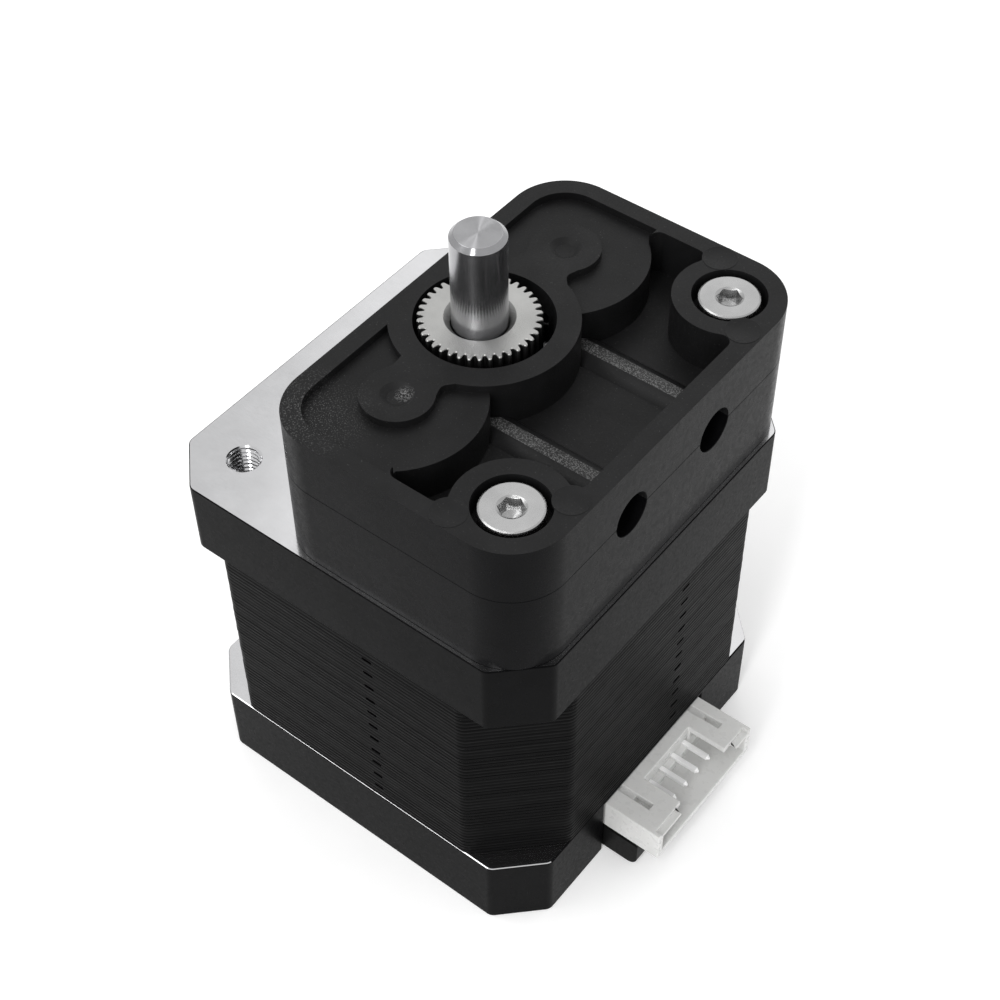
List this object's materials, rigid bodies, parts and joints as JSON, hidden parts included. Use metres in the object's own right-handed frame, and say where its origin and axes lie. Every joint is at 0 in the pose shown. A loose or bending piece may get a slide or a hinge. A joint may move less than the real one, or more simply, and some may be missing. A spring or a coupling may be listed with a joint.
{
  "type": "stepper motor filament feeder",
  "caption": "Square stepper motor with a black two-piece filament feeder on its face: a toothed drive gear on the shaft between grooved idler wheels, side tube ports and a white side header.",
  "frame": {"origin": "on the motor shaft's axis at the motor's flat rear face", "axes": "+Z along the shaft towards its free end, +X to the side with the electrical header and the wide side of the feeder body, the idler wheels at -Y (left) and +Y (right)"},
  "size_m": [0.0487, 0.0424, 0.0643],
  "materials": {
    "painted_casting": "black satin paint on cast aluminium, faces machined bright",
    "stack_paint": "thin black paint over steel laminations",
    "black_plastic": "fine moulded texture, satin on the outer walls",
    "white_nylon": "milky natural nylon",
    "board_green": "satin solder mask",
    "tinned_contact": "bright tin plate",
    "copper_wire": "enamelled copper, glossy",
    "insulator": "plain moulded",
    "rotor_steel": "ground laminated steel",
    "rotor_magnet": "sintered, dark",
    "shaft_steel": "ground and polished",
    "bearing_steel": "ground bearing steel",
    "gear_steel": "fine turned and bead-blasted",
    "screw_steel": "satin stainless"
  },
  "bodies": {
    "motor": {"front_end_bell": "painted_casting", "rear_end_bell": "painted_casting", "stator_stack": "stack_paint", "front_bobbin": "insulator", "rear_bobbin": "insulator", "coil_1": "copper_wire", "coil_2": "copper_wire", "coil_3": "copper_wire", "coil_4": "copper_wire", "coil_5": "copper_wire", "coil_6": "copper_wire", "coil_7": "copper_wire", "coil_8": "copper_wire", "motor_screw_1": "screw_steel", "motor_screw_2": "screw_steel", "motor_screw_3": "screw_steel", "motor_screw_4": "screw_steel", "body_screw_left": "screw_steel", "body_screw_right": "screw_steel", "wave_washer": "bearing_steel", "rear_bearing_outer_ring": "bearing_steel", "rear_bearing_shield_rear": "bearing_steel", "rear_bearing_shield_front": "bearing_steel", "front_bearing_outer_ring": "bearing_steel", "front_bearing_shield_rear": "bearing_steel", "front_bearing_shield_front": "bearing_steel", "idler_pin_left": "shaft_steel", "idler_pin_right": "shaft_steel", "terminal_board": "board_green", "connector_base": "black_plastic", "feeder_housing": "black_plastic", "feeder_cover": "black_plastic", "connector_header": "white_nylon", "connector_pin_1": "tinned_contact", "connector_pin_2": "tinned_contact", "connector_pin_3": "tinned_contact", "connector_pin_4": "tinned_contact", "idler_inner_ring_left": "bearing_steel", "idler_inner_ring_right": "bearing_steel"},
    "rotor": {"motor_shaft": "shaft_steel", "rotor_cup_rear": "rotor_steel", "rotor_magnet": "rotor_magnet", "rotor_cup_front": "rotor_steel", "rear_bearing_inner_ring": "bearing_steel", "front_bearing_inner_ring": "bearing_steel", "drive_gear": "gear_steel", "gear_set_screw": "screw_steel"},
    "idler_left": {"idler_wheel_left": "bearing_steel"},
    "idler_right": {"idler_wheel_right": "bearing_steel"},
    "rear_ball_set": {"rear_bearing_balls": "bearing_steel"},
    "front_ball_set": {"front_bearing_balls": "bearing_steel"},
    "idler_left_ball_set": {"idler_balls_left": "bearing_steel"},
    "idler_right_ball_set": {"idler_balls_right": "bearing_steel"}
  },
  "joints": [
    {"name": "rotor_spin", "type": "hinge", "parent": "motor", "child": "rotor", "pos_m": [0, 0, 0], "axis": [0, 0, 1], "continuous": true},
    {"name": "idler_left_spin", "type": "hinge", "parent": "motor", "child": "idler_left", "pos_m": [0, -0.0117, 0], "axis": [0, 0, 1], "continuous": true},
    {"name": "idler_right_spin", "type": "hinge", "parent": "motor", "child": "idler_right", "pos_m": [0, 0.0117, 0], "axis": [0, 0, 1], "continuous": true},
    {"name": "rear_ball_set_spin", "type": "hinge", "parent": "motor", "child": "rear_ball_set", "pos_m": [0, 0, 0], "axis": [0, 0, 1], "continuous": true},
    {"name": "front_ball_set_spin", "type": "hinge", "parent": "motor", "child": "front_ball_set", "pos_m": [0, 0, 0], "axis": [0, 0, 1], "continuous": true},
    {"name": "idler_left_ball_set_spin", "type": "hinge", "parent": "motor", "child": "idler_left_ball_set", "pos_m": [0, -0.0117, 0], "axis": [0, 0, 1], "continuous": true},
    {"name": "idler_right_ball_set_spin", "type": "hinge", "parent": "motor", "child": "idler_right_ball_set", "pos_m": [0, 0.0117, 0], "axis": [0, 0, 1], "continuous": true}
  ],
  "couplings": [
    {"joint": "rear_ball_set_spin", "follows": "rotor_spin", "ratio": 0.3738},
    {"joint": "front_ball_set_spin", "follows": "rotor_spin", "ratio": 0.3738},
    {"joint": "idler_left_ball_set_spin", "follows": "idler_left_spin", "ratio": 0.6125},
    {"joint": "idler_right_ball_set_spin", "follows": "idler_right_spin", "ratio": 0.6125}
  ]
}
